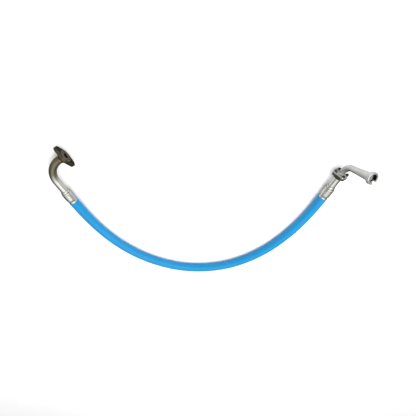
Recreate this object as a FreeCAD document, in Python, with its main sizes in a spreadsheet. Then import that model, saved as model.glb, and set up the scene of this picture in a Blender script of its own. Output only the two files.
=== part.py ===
"""Hydraulic hose assembly: a blue two-wire hose with a bent tube at one end and an elbow at the other.

The hose lies on the floor (z = 0) in a wide U. X runs along the chord between the two ends, Y towards the
bottom of the U, Z up. The origin is on the floor, midway between the end fittings. Millimetres throughout.
"""

import FreeCAD, Part
import math
import os
import re
import Sketcher
from FreeCAD import Placement, Rotation, Vector

DIMENSIONS = {
    # hose layers, outer radius of each, from the bore outwards
    "hose_bore_radius": 9.0,
    "liner_radius": 10.7,
    "inner_braid_radius": 11.4,
    "separator_radius": 11.7,
    "outer_braid_radius": 12.4,
    "cover_radius": 14.0,
    "hose_insertion": 30.0,
    # the sphere that parts the two halves of the hose at its middle
    "split_radius": 20.0,
    "split_gap": 0.3,
    # crimped ferrules
    "ferrule_length": 38.0,
    "ferrule_mouth_radius": 13.2,
    "ferrule_body_radius": 14.8,
    "ferrule_taper_start": 5.0,
    "ferrule_taper_end": 13.0,
    "ferrule_edge": 1.2,
    "ferrule_lip": 6.0,
    # nipples
    "nipple_stem_start": 3.0,
    "nipple_bore_radius": 6.8,
    "nipple_groove_radius": 10.2,
    "nipple_barb_depth": 0.5,
    "nipple_barb_pitch": 5.0,
    "nipple_collar_radius": 12.4,
    "nipple_collar_length": 7.0,
    "nipple_collar_edge": 0.8,
    "nipple_socket_depth": 5.5,
    # steel tubes
    "tube_radius": 10.5,
    "tube_bore_radius": 8.0,
    "bend_radius": 57.5,
    "left_corner": 130.3,
    "flange_corner": 70.3,
    # two-hole mounting flange
    "flange_thickness": 9.0,
    "flange_half_width": 20.0,
    "flange_lobe_radius": 9.5,
    "flange_bolt_spacing": 52.0,
    "flange_hole_radius": 4.5,
    "flange_raise": 0.8,
    "flange_raise_radius": 16.5,
    "flange_hub_radius": 16.0,
    "flange_hub_neck": 12.6,
    "flange_hub_length": 6.5,
    "flange_socket_stop": 5.0,
    "flange_edge": 0.8,
    "seal_radius": 12.2,
    "seal_section": 1.3,
    "seal_groove_depth": 2.0,
    "seal_groove_half": 1.6,
    "weld_leg": 2.4,
    # stub tube with a flat collar, and the square flanges that clamp it
    "stub_length": 88.0,
    "stub_collar_radius": 13.5,
    "stub_collar_thickness": 3.0,
    "joint_gap": 0.3,
    "running_clearance": 0.08,
    "square_side": 37.0,
    "square_corner": 8.0,
    "square_edge": 0.6,
    "screw_offset": 13.2,
    "screw_radius": 2.5,
    "screw_hole_radius": 2.8,
    "loose_thickness": 6.5,
    "loose_boss_radius": 15.8,
    "loose_boss_end_radius": 14.6,
    "loose_boss_length": 4.5,
    "elbow_flange_thickness": 4.5,
    "joint_seal_radius": 10.9,
    "joint_seal_section": 1.1,
    "joint_groove_depth": 2.0,
    # cap screws and spring washers
    "screw_length": 11.0,
    "screw_head_radius": 4.25,
    "screw_head_height": 3.2,
    "screw_head_edge": 0.4,
    "screw_key": 3.0,
    "screw_key_depth": 1.8,
    "washer_thickness": 1.0,
    "washer_radius": 4.4,
    # cast elbow
    "elbow_start": 8.4,
    "elbow_bend_radius": 31.6,
    "elbow_bore_radius": 6.2,
    "elbow_neck_radius": 8.8,
    "elbow_root_flare": 2.6,
    "elbow_leg_length": 71.0,
    "elbow_leg_radius": 11.4,
    "rim_radius": 16.8,
    "rim_length": 9.5,
    "rim_edge": 0.8,
    "rim_shoulder": 3.0,
    "socket_radius": 11.0,
    "socket_depth": 11.0,
    "notch_width": 11.0,
    "notch_depth": 8.0,
}

# Angles of the end fittings, in degrees.
ANGLES = {
    "left_heading": -71.1,
    "left_rise": 5.25,
    "flange_heading": -152.15,
    "flange_rise": -8.91,
    "flange_tilt": 9.0,
    "right_heading": -109.75,
    "right_rise": 3.57,
    "square_turn": -44.5,
    "elbow_turn": 70.5,
    "elbow_clock": -72.2,
    "notch_clock": 0.0,
}

# Where the hose leaves each ferrule.
LEFT_MOUTH = Vector(394.26, 90.69, 19.0)
RIGHT_MOUTH = Vector(-346.8, 76.3, 18.0)

# The hose's route between its two straight ends. It rests on the floor and rises a little at each end.
ROUTE_MIDDLE = [
    Vector(382.33, 125.55, 15.61),
    Vector(346.5, 196.5, 14.0),
    Vector(308.0, 251.0, 14.0),
    Vector(258.6, 303.0, 14.0),
    Vector(200.8, 345.2, 14.0),
    Vector(137.5, 375.3, 14.0),
    Vector(69.5, 393.0, 14.0),
    Vector(0.5, 394.2, 14.0),
    Vector(-69.5, 381.5, 14.0),
    Vector(-137.5, 350.6, 14.0),
    Vector(-199.8, 305.4, 14.0),
    Vector(-252.0, 249.5, 14.0),
    Vector(-293.2, 190.8, 14.0),
    Vector(-331.62, 118.57, 15.2),
]
SPLIT_RUN = 7  # the run of the route whose middle is the middle of the hose
ARC_SHARE = 0.45  # the part of the shorter run that each arc takes

doc = FreeCAD.newDocument("hose_assembly")
sheet = doc.addObject("Spreadsheet::Sheet", "sheet")
sums = doc.addObject("Spreadsheet::Sheet", "sums")
parts = []


def fill_sheet():
    """Writes every driving dimension and angle as a plain number with its alias."""
    for row, (name, value) in enumerate({**DIMENSIONS, **ANGLES}.items(), start=1):
        sheet.set(f"A{row}", name)
        sheet.set(f"B{row}", str(value))
        sheet.setAlias(f"B{row}", name)
    doc.recompute()


def size(name):
    return float(sheet.get(name))


def direction(heading, rise):
    """A unit vector from its heading in the floor plane and its rise above it, in degrees."""
    flat = math.cos(math.radians(rise))
    return Vector(
        flat * math.cos(math.radians(heading)),
        flat * math.sin(math.radians(heading)),
        math.sin(math.radians(rise)),
    )


def level(axis):
    """The level unit vector square to an axis."""
    return axis.cross(Vector(0, 0, 1)).normalize()


def frame(origin, axis, side):
    """A placement with its Z along the axis and its X along the side."""
    return Placement(origin, Rotation(side, axis.cross(side), axis, "ZXY"))


def turned(side, axis, angle):
    """The side vector turned about the axis, in degrees."""
    return Rotation(axis, angle).multVec(side)


def new_body(label, placement):
    body = doc.addObject("PartDesign::Body", label)
    body.Label = label
    body.Placement = placement
    parts.append(body)
    return body


def new_feature(label, shape):
    feature = doc.addObject("Part::Feature", label)
    feature.Label = label
    feature.Shape = shape
    parts.append(feature)
    return feature


def origin_plane(body, role):
    return next(item for item in body.Origin.OriginFeatures if item.Role == role)


def new_sketch(body, name, role, offset=None):
    """A sketch on one of the body's own planes, lifted from it by an expression if one is given."""
    sketch = body.newObject("Sketcher::SketchObject", name)
    sketch.AttachmentSupport = (origin_plane(body, role), [""])
    sketch.MapMode = "FlatFace"
    if offset:
        sketch.setExpression("AttachmentOffset.Base.z", bound(offset))
    return sketch


def bound(expression):
    """The expression with each alias read from the sheet."""
    return re.sub(r"[a-z]\w*", r"sheet.\g<0>", expression)


def value_of(expression):
    """The number that an expression over the sheet gives, worked out in a cell of the second sheet."""
    sums.set("A1", f"={bound(expression)}")
    sums.recompute()
    return float(sums.get("A1"))


def bind(sketch, constraint, expression):
    """Adds a driving constraint and ties its value to the sheet."""
    index = sketch.addConstraint(constraint)
    sketch.setExpression(f"Constraints[{index}]", bound(expression))


def polygon(sketch, corners):
    """A closed outline through corners, each a pair of expressions, with every corner bound to the sheet."""
    places = [Vector(value_of(a), value_of(b), 0) for a, b in corners]
    count = len(places)
    for i in range(count):
        sketch.addGeometry(Part.LineSegment(places[i], places[(i + 1) % count]))
    for i in range(count):
        sketch.addConstraint(Sketcher.Constraint("Coincident", i, 2, (i + 1) % count, 1))
    for i, (a, b) in enumerate(corners):
        bind(sketch, Sketcher.Constraint("DistanceX", -1, 1, i, 1, places[i].x), a)
        bind(sketch, Sketcher.Constraint("DistanceY", -1, 1, i, 1, places[i].y), b)


def circle(sketch, x, y, radius):
    """A circle whose centre and radius are expressions."""
    centre = Vector(value_of(x), value_of(y), 0)
    index = sketch.addGeometry(Part.Circle(centre, Vector(0, 0, 1), value_of(radius)))
    bind(sketch, Sketcher.Constraint("DistanceX", -1, 1, index, 3, centre.x), x)
    bind(sketch, Sketcher.Constraint("DistanceY", -1, 1, index, 3, centre.y), y)
    bind(sketch, Sketcher.Constraint("Radius", index, value_of(radius)), radius)


def revolve(body, sketch, kind="PartDesign::Revolution"):
    """Turns a sketch on the XZ plane a full turn about the body's Z axis."""
    feature = body.newObject(kind, f"{body.Name}_{sketch.Name}_turn")
    feature.Profile = sketch
    feature.ReferenceAxis = (sketch, ["V_Axis"])
    feature.Angle = 360.0
    doc.recompute()
    return feature


def turned_part(label, placement, corners):
    """A round part from its half section, given as radius and height expressions."""
    body = new_body(label, placement)
    sketch = new_sketch(body, f"{label}_section", "XZ_Plane")
    polygon(sketch, corners)
    revolve(body, sketch)
    return body


def pad(body, sketch, length, reverse=False):
    feature = body.newObject("PartDesign::Pad", f"{sketch.Name}_pad")
    feature.Profile = sketch
    feature.setExpression("Length", bound(length))
    feature.Reversed = reverse
    doc.recompute()
    return feature


def pocket(body, sketch, length, reverse=False):
    """Cuts a sketch into the body and stops if nothing was cut away."""
    before = body.Shape.Volume
    feature = body.newObject("PartDesign::Pocket", f"{sketch.Name}_pocket")
    feature.Profile = sketch
    feature.setExpression("Length", bound(length))
    feature.Reversed = reverse
    doc.recompute()
    if body.Shape.Volume > before - 1.0:
        raise RuntimeError(f"{feature.Name} cuts nothing")
    return feature


def groove(body, sketch):
    before = body.Shape.Volume
    feature = revolve(body, sketch, "PartDesign::Groove")
    if body.Shape.Volume > before - 1.0:
        raise RuntimeError(f"{feature.Name} cuts nothing")
    return feature


def horizontal_edges(shape):
    """The names of the edges that lie level in the body's own frame."""
    return [
        f"Edge{i}"
        for i, edge in enumerate(shape.Edges, start=1)
        if edge.BoundBox.ZLength < 1e-6
    ]


def upright_edges(shape):
    """The names of the straight edges that run along the body's Z axis."""
    return [
        f"Edge{i}"
        for i, edge in enumerate(shape.Edges, start=1)
        if edge.BoundBox.XLength < 1e-6 and edge.BoundBox.YLength < 1e-6
    ]


def break_edges(body, base, edges, amount, kind="PartDesign::Chamfer"):
    """Chamfers or fillets the named edges of a feature."""
    feature = body.newObject(kind, f"{base.Name}_edges")
    feature.Base = (base, edges)
    feature.setExpression("Size" if kind.endswith("Chamfer") else "Radius", bound(amount))
    doc.recompute()
    return feature


# ---------------------------------------------------------------- the hose


def hose_route():
    """Every point of the hose's route, from its end in the left ferrule to its end in the right one."""
    depth = size("hose_insertion")
    return [
        LEFT_MOUTH + left_axis() * depth,
        *ROUTE_MIDDLE,
        RIGHT_MOUTH + right_axis() * depth,
    ]


def route_arcs(points):
    """For each inner point of a route: the arc's start, middle and end, and its radius."""
    arcs = []
    for before, corner, after in zip(points, points[1:], points[2:]):
        back = before - corner
        ahead = after - corner
        reach = ARC_SHARE * min(back.Length, ahead.Length)
        half_turn = (math.pi - back.getAngle(ahead)) / 2
        radius = reach / math.tan(half_turn)
        back.normalize()
        ahead.normalize()
        inward = (back + ahead).normalize()
        middle = corner + inward * (radius / math.cos(half_turn) - radius)
        arcs.append((corner + back * reach, middle, corner + ahead * reach, radius))
    return arcs


def route_edges(points, arcs):
    """Straight runs joined by tangent arcs."""
    edges = []
    here = points[0]
    for start, middle, end, radius in arcs:
        edges.append(Part.LineSegment(here, start).toShape())
        edges.append(Part.Arc(start, middle, end).toShape())
        here = end
    edges.append(Part.LineSegment(here, points[-1]).toShape())
    return edges


def sweep(edges, radius):
    """A solid round bar along a path of edges."""
    path = Part.Wire(edges)
    start = edges[0].firstVertex().Point
    tangent = edges[0].tangentAt(edges[0].FirstParameter)
    section = Part.Wire(Part.makeCircle(radius, start, tangent))
    bar = path.makePipeShell([section], True, True)
    expected = math.pi * radius**2 * path.Length
    if abs(bar.Volume / expected - 1) > 0.005:
        raise RuntimeError("a swept bar's volume is not that of its length and section")
    return bar


def hose_halves():
    """The hose's layers, each parted at the middle by a sphere about the split point."""
    points = hose_route()
    arcs = route_arcs(points)
    print("hose bend radii, mm:", [round(radius) for _, _, _, radius in arcs])
    whole = route_edges(points, arcs)
    right = route_edges([split_point(), *points[SPLIT_RUN + 1 :]], arcs[SPLIT_RUN:])
    print("hose length, mm:", round(Part.Wire(whole).Length, 1))
    ball = Part.makeSphere(size("split_radius"), split_point())
    socket = Part.makeSphere(size("split_radius") + size("split_gap"), split_point())
    layers = {
        "hose_liner": ("hose_bore_radius", "liner_radius"),
        "inner_braid": ("liner_radius", "inner_braid_radius"),
        "braid_separator": ("inner_braid_radius", "separator_radius"),
        "outer_braid": ("separator_radius", "outer_braid_radius"),
        "hose_cover": ("outer_braid_radius", "cover_radius"),
    }
    for name, (inner, outer) in layers.items():
        full_layer = sweep(whole, size(outer)).cut(sweep(whole, size(inner)))
        right_layer = sweep(right, size(outer)).cut(sweep(right, size(inner)))
        if name == "hose_cover":
            full_layer = full_layer.cut(ferrule_zones())
            right_layer = right_layer.cut(ferrule_zones())
        new_feature(f"{name}_left", full_layer.cut(right_layer.cut(ball)))
        new_feature(f"{name}_right", right_layer.cut(socket))


def ferrule_zones():
    """The space behind each ferrule's mouth, where the hose has no cover."""
    reach = 2 * size("cover_radius")
    depth = 2 * size("hose_insertion")
    return Part.makeCompound(
        [
            Part.makeCylinder(reach, depth, LEFT_MOUTH, left_axis()),
            Part.makeCylinder(reach, depth, RIGHT_MOUTH, right_axis()),
        ]
    )


def split_point():
    """The middle of the hose, where its two halves meet and turn."""
    points = hose_route()
    return (points[SPLIT_RUN] + points[SPLIT_RUN + 1]) * 0.5


def left_axis():
    return direction(size("left_heading"), size("left_rise"))


def right_axis():
    return direction(size("right_heading"), size("right_rise"))


# ---------------------------------------------------------------- crimped ends


def ferrule(label, placement):
    """A crimped ferrule: drawn down at its mouth, with a lip inside that locks on the nipple."""
    return turned_part(
        label,
        placement,
        [
            ("outer_braid_radius", "0"),
            ("ferrule_mouth_radius", "0"),
            ("ferrule_mouth_radius", "ferrule_taper_start"),
            ("ferrule_body_radius", "ferrule_taper_end"),
            ("ferrule_body_radius", "ferrule_length - ferrule_edge"),
            ("ferrule_body_radius - ferrule_edge", "ferrule_length"),
            ("nipple_groove_radius", "ferrule_length"),
            ("nipple_groove_radius", "ferrule_length - ferrule_lip"),
            ("outer_braid_radius", "ferrule_length - ferrule_lip"),
        ],
    )


def nipple(label, placement):
    """A barbed stem in the hose's bore, with a collar outside that holds the end of the steel tube."""
    barbs = []
    count = int((size("hose_insertion") - size("nipple_stem_start")) // size("nipple_barb_pitch"))
    for i in range(count):
        foot = f"nipple_stem_start + {i} * nipple_barb_pitch"
        barbs.append(("hose_bore_radius - nipple_barb_depth", foot))
        barbs.append(("hose_bore_radius", f"{foot} + nipple_barb_pitch"))
    return turned_part(
        label,
        placement,
        [
            ("nipple_bore_radius", "nipple_stem_start"),
            *barbs,
            ("hose_bore_radius", "hose_insertion"),
            ("nipple_groove_radius", "hose_insertion"),
            ("nipple_groove_radius", "ferrule_length"),
            ("nipple_collar_radius", "ferrule_length"),
            ("nipple_collar_radius", "ferrule_length + nipple_collar_length - nipple_collar_edge"),
            ("nipple_collar_radius - nipple_collar_edge", "ferrule_length + nipple_collar_length"),
            ("tube_radius", "ferrule_length + nipple_collar_length"),
            ("tube_radius", "ferrule_length + nipple_collar_length - nipple_socket_depth"),
            ("nipple_bore_radius", "ferrule_length + nipple_collar_length - nipple_socket_depth"),
        ],
    )


# ---------------------------------------------------------------- left end: bent tube and two-hole flange


def tube_corner():
    return LEFT_MOUTH + left_axis() * size("left_corner")


def flange_axis():
    """The outward normal of the mounting flange's face."""
    return direction(size("flange_heading"), size("flange_rise"))


def flange_face():
    return tube_corner() + flange_axis() * size("flange_corner")


def flange_frame():
    axis = flange_axis()
    return frame(flange_face(), axis, turned(level(axis), axis, size("flange_tilt")))


def bent_tube():
    """One bend between two straight legs, from the nipple's socket to the flange's."""
    start = LEFT_MOUTH + left_axis() * value_of(
        "ferrule_length + nipple_collar_length - nipple_socket_depth"
    )
    end = flange_face() - flange_axis() * size("flange_socket_stop")
    corner = tube_corner()
    back = left_axis() * -1
    ahead = flange_axis()
    half_turn = (math.pi - back.getAngle(ahead)) / 2
    reach = size("bend_radius") * math.tan(half_turn)
    inward = (back + ahead).normalize()
    depth = size("bend_radius") / math.cos(half_turn) - size("bend_radius")
    arc = (corner + back * reach, corner + inward * depth, corner + ahead * reach, size("bend_radius"))
    edges = route_edges([start, corner, end], [arc])
    new_feature("bent_tube", sweep(edges, size("tube_radius")).cut(sweep(edges, size("tube_bore_radius"))))


def rhombus_outline(sketch):
    """A long rounded outline: two end lobes and two waist arcs, joined by tangent lines."""
    lobe = size("flange_lobe_radius")
    waist = size("flange_half_width")
    reach = size("flange_bolt_spacing") / 2
    slope = math.acos((waist - lobe) / reach)
    normal = Vector(math.cos(slope), math.sin(slope), 0)
    mirror_x = Vector(-normal.x, normal.y, 0)
    up = Vector(0, 0, 1)
    right = Vector(reach, 0, 0)
    left = Vector(-reach, 0, 0)
    right_circle = Part.Circle(right, up, lobe)
    left_circle = Part.Circle(left, up, lobe)
    waist_circle = Part.Circle(Vector(), up, waist)
    sketch.addGeometry(Part.ArcOfCircle(right_circle, -slope, slope))
    sketch.addGeometry(Part.LineSegment(right + normal * lobe, normal * waist))
    sketch.addGeometry(Part.ArcOfCircle(waist_circle, slope, math.pi - slope))
    sketch.addGeometry(Part.LineSegment(mirror_x * waist, left + mirror_x * lobe))
    sketch.addGeometry(Part.ArcOfCircle(left_circle, math.pi - slope, math.pi + slope))
    sketch.addGeometry(Part.LineSegment(left - normal * lobe, normal * -waist))
    sketch.addGeometry(Part.ArcOfCircle(waist_circle, math.pi + slope, 2 * math.pi - slope))
    sketch.addGeometry(Part.LineSegment(mirror_x * -waist, right - mirror_x * lobe))
    for i in range(8):
        sketch.addConstraint(Sketcher.Constraint("Tangent", i, 2, (i + 1) % 8, 1))
    for arc in (2, 6):
        sketch.addConstraint(Sketcher.Constraint("Coincident", arc, 3, -1, 1))
        bind(sketch, Sketcher.Constraint("Radius", arc, waist), "flange_half_width")
    for arc, sign in ((0, ""), (4, "-")):
        centre = f"{sign}flange_bolt_spacing / 2"
        sketch.addConstraint(Sketcher.Constraint("PointOnObject", arc, 3, -1))
        bind(sketch, Sketcher.Constraint("DistanceX", -1, 1, arc, 3, value_of(centre)), centre)
        bind(sketch, Sketcher.Constraint("Radius", arc, lobe), "flange_lobe_radius")


def mounting_flange():
    """A two-hole flange with a raised face, a seal groove and a conical hub welded to the tube."""
    body = new_body("mounting_flange", flange_frame())
    outline = new_sketch(body, "flange_outline", "XY_Plane", "-flange_raise")
    rhombus_outline(outline)
    plate = pad(body, outline, "flange_thickness", reverse=True)
    break_edges(body, plate, horizontal_edges(plate.Shape), "flange_edge")
    hub_end = "-flange_thickness - flange_raise - flange_hub_length"
    hub = new_sketch(body, "flange_hub", "XZ_Plane")
    polygon(
        hub,
        [
            ("0", hub_end),
            ("flange_hub_neck", hub_end),
            ("flange_hub_radius", "-flange_thickness - flange_raise"),
            ("flange_raise_radius", "-flange_raise"),
            ("flange_raise_radius", "0"),
            ("0", "0"),
        ],
    )
    revolve(body, hub)
    bore = new_sketch(body, "flange_bore", "XZ_Plane")
    polygon(
        bore,
        [
            ("0", f"{hub_end} - 1"),
            ("tube_radius", f"{hub_end} - 1"),
            ("tube_radius", "-flange_socket_stop"),
            ("tube_bore_radius", "-flange_socket_stop"),
            ("tube_bore_radius", "1"),
            ("0", "1"),
        ],
    )
    groove(body, bore)
    seal_groove = new_sketch(body, "flange_seal_groove", "XZ_Plane")
    polygon(
        seal_groove,
        [
            ("seal_radius - seal_groove_half", "-seal_groove_depth"),
            ("seal_radius + seal_groove_half", "-seal_groove_depth"),
            ("seal_radius + seal_groove_half", "1"),
            ("seal_radius - seal_groove_half", "1"),
        ],
    )
    groove(body, seal_groove)
    holes = new_sketch(body, "flange_holes", "XY_Plane", "1")
    for sign in ("", "-"):
        circle(holes, f"{sign}flange_bolt_spacing / 2", "0", "flange_hole_radius")
    pocket(body, holes, "flange_thickness + flange_raise + 2")


def flange_weld():
    """The fillet weld between the hub's neck and the tube."""
    hub_end = "-flange_thickness - flange_raise - flange_hub_length"
    turned_part(
        "flange_weld",
        flange_frame(),
        [
            ("tube_radius", f"{hub_end} - weld_leg"),
            ("flange_hub_neck - 0.3", hub_end),
            ("tube_radius", hub_end),
        ],
    )


def ring(label, placement, centre_radius, height, section):
    """A round seal ring."""
    body = new_body(label, placement)
    sketch = new_sketch(body, f"{label}_section", "XZ_Plane")
    circle(sketch, centre_radius, height, section)
    revolve(body, sketch)


# ---------------------------------------------------------------- right end: stub tube, flanged joint, elbow


def joint_centre():
    return RIGHT_MOUTH + right_axis() * size("stub_length")


def joint_frame():
    axis = right_axis()
    return frame(joint_centre(), axis, turned(level(axis), axis, size("square_turn")))


def stub_tube(placement):
    """A short straight tube with a flat collar that the loose flange clamps."""
    collar_end = "stub_length - joint_gap"
    collar_start = "stub_length - joint_gap - stub_collar_thickness"
    start = "ferrule_length + nipple_collar_length - nipple_socket_depth"
    turned_part(
        "stub_tube",
        placement,
        [
            ("tube_bore_radius", start),
            ("tube_radius", start),
            ("tube_radius", collar_start),
            ("stub_collar_radius", collar_start),
            ("stub_collar_radius", collar_end),
            ("tube_bore_radius", collar_end),
        ],
    )


def square_outline(sketch):
    half = "square_side / 2"
    polygon(sketch, [(f"-{half}", f"-{half}"), (half, f"-{half}"), (half, half), (f"-{half}", half)])


def loose_flange():
    """A square flange with a round boss, free to turn on the stub tube until its screws are tightened."""
    body = new_body("loose_flange", joint_frame())
    outline = new_sketch(body, "loose_outline", "XY_Plane")
    square_outline(outline)
    plate = pad(body, outline, "loose_thickness", reverse=True)
    rounded = break_edges(body, plate, upright_edges(plate.Shape), "square_corner", "PartDesign::Fillet")
    break_edges(body, rounded, horizontal_edges(rounded.Shape), "square_edge")
    boss = new_sketch(body, "loose_boss", "XZ_Plane")
    boss_end = "-loose_thickness - loose_boss_length"
    polygon(
        boss,
        [
            ("0", boss_end),
            ("loose_boss_end_radius", boss_end),
            ("loose_boss_radius", "-loose_thickness"),
            ("loose_boss_radius", "-loose_thickness / 2"),
            ("0", "-loose_thickness / 2"),
        ],
    )
    revolve(body, boss)
    bore = new_sketch(body, "loose_bore", "XZ_Plane")
    polygon(
        bore,
        [
            ("0", f"{boss_end} - 1"),
            ("tube_radius + running_clearance", f"{boss_end} - 1"),
            ("tube_radius + running_clearance", "-stub_collar_thickness - 2 * joint_gap"),
            ("stub_collar_radius + running_clearance", "-stub_collar_thickness - 2 * joint_gap"),
            ("stub_collar_radius + running_clearance", "1"),
            ("0", "1"),
        ],
    )
    groove(body, bore)
    holes = new_sketch(body, "loose_holes", "XY_Plane", "1")
    for x, y in screw_places():
        circle(holes, x, y, "screw_radius")
    pocket(body, holes, "loose_thickness + 2")


def screw_places():
    """The four screw centres on the square flanges, as expressions."""
    signs = ("", "-")
    return [(f"{a}screw_offset", f"{b}screw_offset") for a in signs for b in signs]


def at_screws(shape):
    """Four copies of a shape, one at each screw, in the joint's frame."""
    copies = []
    for x, y in screw_places():
        copy = shape.copy()
        copy.Placement = joint_frame() * Placement(Vector(value_of(x), value_of(y), 0), Rotation())
        copies.append(copy)
    return Part.makeCompound(copies)


def flange_screws():
    """Four socket-head cap screws, tapped into the loose flange."""
    seat = value_of("elbow_flange_thickness + washer_thickness")
    length = size("screw_length")
    shank = Part.makeCylinder(size("screw_radius"), length, Vector(0, 0, seat - length))
    head = Part.makeCylinder(size("screw_head_radius"), size("screw_head_height"), Vector(0, 0, seat))
    rims = [edge for edge in head.Edges if isinstance(edge.Curve, Part.Circle)]
    head = head.makeChamfer(size("screw_head_edge"), rims)
    corner = Vector(size("screw_key") / math.sqrt(3), 0, seat + size("screw_head_height"))
    corners = [turned(corner, Vector(0, 0, 1), 60 * i) for i in range(7)]
    key = Part.Face(Part.makePolygon(corners)).extrude(Vector(0, 0, -size("screw_key_depth")))
    new_feature("flange_screws", at_screws(shank.fuse(head).removeSplitter().cut(key)))


def spring_washers():
    """Four split washers under the screw heads."""
    seat = Vector(0, 0, size("elbow_flange_thickness"))
    thickness = size("washer_thickness")
    washer = Part.makeCylinder(size("washer_radius"), thickness, seat)
    washer = washer.cut(Part.makeCylinder(size("screw_hole_radius"), thickness, seat))
    foot = seat - Vector(0, thickness / 2, 0)
    split = Part.makeBox(size("washer_radius") * 2, thickness, thickness, foot)
    new_feature("spring_washers", at_screws(washer.cut(split)))


def elbow_casting():
    """A cast elbow: square flange, round bend, tapering leg and a thick notched rim with a socket."""
    axis = right_axis()
    side = turned(level(axis), axis, size("elbow_clock"))
    bend_start = joint_centre() + axis * size("elbow_start")
    bend_centre = bend_start + side * size("elbow_bend_radius")
    bend_axis = axis.cross(side)
    leg_axis = Rotation(bend_axis, size("elbow_turn")).multVec(axis)
    bend_end = bend_centre + Rotation(bend_axis, size("elbow_turn")).multVec(bend_start - bend_centre)
    rim_face = bend_end + leg_axis * size("elbow_leg_length")
    rim_back = rim_face - leg_axis * size("rim_length")
    shoulder = rim_back - leg_axis * size("rim_shoulder")

    def bend(radius):
        section = Part.Face(Part.Wire(Part.makeCircle(radius, bend_start, axis)))
        return section.revolve(bend_centre, bend_axis, size("elbow_turn"))

    thickness = size("elbow_flange_thickness")
    half = size("square_side") / 2
    plate = Part.makeBox(2 * half, 2 * half, thickness, Vector(-half, -half, 0))
    uprights = [edge for edge in plate.Edges if edge.BoundBox.ZLength > 1]
    plate = plate.makeFillet(size("square_corner"), uprights)
    rims = [edge for edge in plate.Edges if edge.BoundBox.ZLength < 1e-6]
    plate = plate.makeChamfer(size("square_edge"), rims)
    for x, y in screw_places():
        hole_foot = Vector(value_of(x), value_of(y), 0)
        plate = plate.cut(Part.makeCylinder(size("screw_hole_radius"), thickness, hole_foot))
    plate.Placement = joint_frame()
    neck = size("elbow_neck_radius")
    leg = size("elbow_leg_radius")
    leg_length = (shoulder - bend_end).Length
    root_length = size("elbow_start") - thickness
    root_radius = neck + size("elbow_root_flare")
    root = Part.makeCone(root_radius, neck, root_length, joint_centre() + axis * thickness, axis)
    outside = [
        Part.makeCylinder(neck, size("elbow_start"), joint_centre(), axis),
        root,
        bend(neck),
        Part.makeCone(neck, leg, leg_length, bend_end, leg_axis),
        Part.makeCone(leg, size("rim_radius"), size("rim_shoulder"), shoulder, leg_axis),
        Part.makeCylinder(size("rim_radius"), size("rim_length"), rim_back, leg_axis),
    ]
    shape = plate.multiFuse(outside).removeSplitter()
    bore = size("elbow_bore_radius")
    socket_foot = rim_face - leg_axis * size("socket_depth")
    inside = [
        Part.makeCylinder(bore, size("elbow_start"), joint_centre(), axis),
        bend(bore),
        Part.makeCylinder(bore, size("elbow_leg_length"), bend_end, leg_axis),
        Part.makeCylinder(size("socket_radius"), size("socket_depth"), socket_foot, leg_axis),
        seal_channel(),
        rim_notch(rim_face, leg_axis),
    ]
    for tool in inside:
        shape = shape.cut(tool)
    new_feature("elbow_casting", shape.removeSplitter())


def seal_channel():
    """The ring groove in the elbow's flange face."""
    depth = size("joint_groove_depth")
    inner = size("joint_seal_radius") - size("joint_seal_section")
    outer = size("joint_seal_radius") + size("joint_seal_section")
    start = joint_centre()
    channel = Part.makeCylinder(outer, depth, start, right_axis())
    return channel.cut(Part.makeCylinder(inner, depth, start, right_axis()))


def rim_notch(face, axis):
    """A square notch through one side of the rim, open at its face."""
    side = turned(level(axis), axis, size("notch_clock"))
    width = size("notch_width")
    depth = size("notch_depth")
    box = Part.makeBox(2 * size("rim_radius"), width, depth, Vector(0, -width / 2, -depth))
    box.Placement = frame(face, axis, side)
    return box


# ---------------------------------------------------------------- build


def check_and_export():
    """Stops on any failed object or bad shape, then writes one STEP file per sub-part."""
    doc.recompute()
    for item in doc.Objects:
        if "Invalid" in item.State or "Error" in item.State:
            raise RuntimeError(f"{item.Name} failed: {item.State}")
    os.makedirs("parts", exist_ok=True)
    for part in parts:
        shape = part.Shape
        if shape.isNull() or not shape.isValid() or not shape.Solids:
            raise RuntimeError(f"{part.Label} has no valid solid")
        shape.exportStep(f"parts/{part.Label}.step")
        print(f"{part.Label}: {len(shape.Solids)} solid, {shape.Volume / 1000:.2f} cm3")


def build():
    fill_sheet()
    left = frame(LEFT_MOUTH, left_axis(), level(left_axis()))
    right = frame(RIGHT_MOUTH, right_axis(), level(right_axis()))
    hose_halves()
    ferrule("left_ferrule", left)
    nipple("left_nipple", left)
    bent_tube()
    mounting_flange()
    flange_weld()
    ring("face_seal_ring", flange_frame(), "seal_radius", "seal_section - seal_groove_depth", "seal_section")
    ferrule("right_ferrule", right)
    nipple("right_nipple", right)
    stub_tube(right)
    loose_flange()
    elbow_casting()
    ring(
        "joint_seal_ring",
        joint_frame(),
        "joint_seal_radius",
        "joint_groove_depth - joint_seal_section",
        "joint_seal_section",
    )
    flange_screws()
    spring_washers()
    check_and_export()


build()
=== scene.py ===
"""Hydraulic hose assembly: a blue two-wire hose, crimped at each end, on a pale studio floor.

The left end is a bent steel tube with a two-hole flange, and the right end a flanged joint with a cast elbow.
Blender objects are in metres. Profiles and radii are written in millimetres and scaled where a mesh is made.
"""

import math

import bmesh
import bpy
import numpy as np
from mathutils import Matrix, Quaternion, Vector, noise


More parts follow.
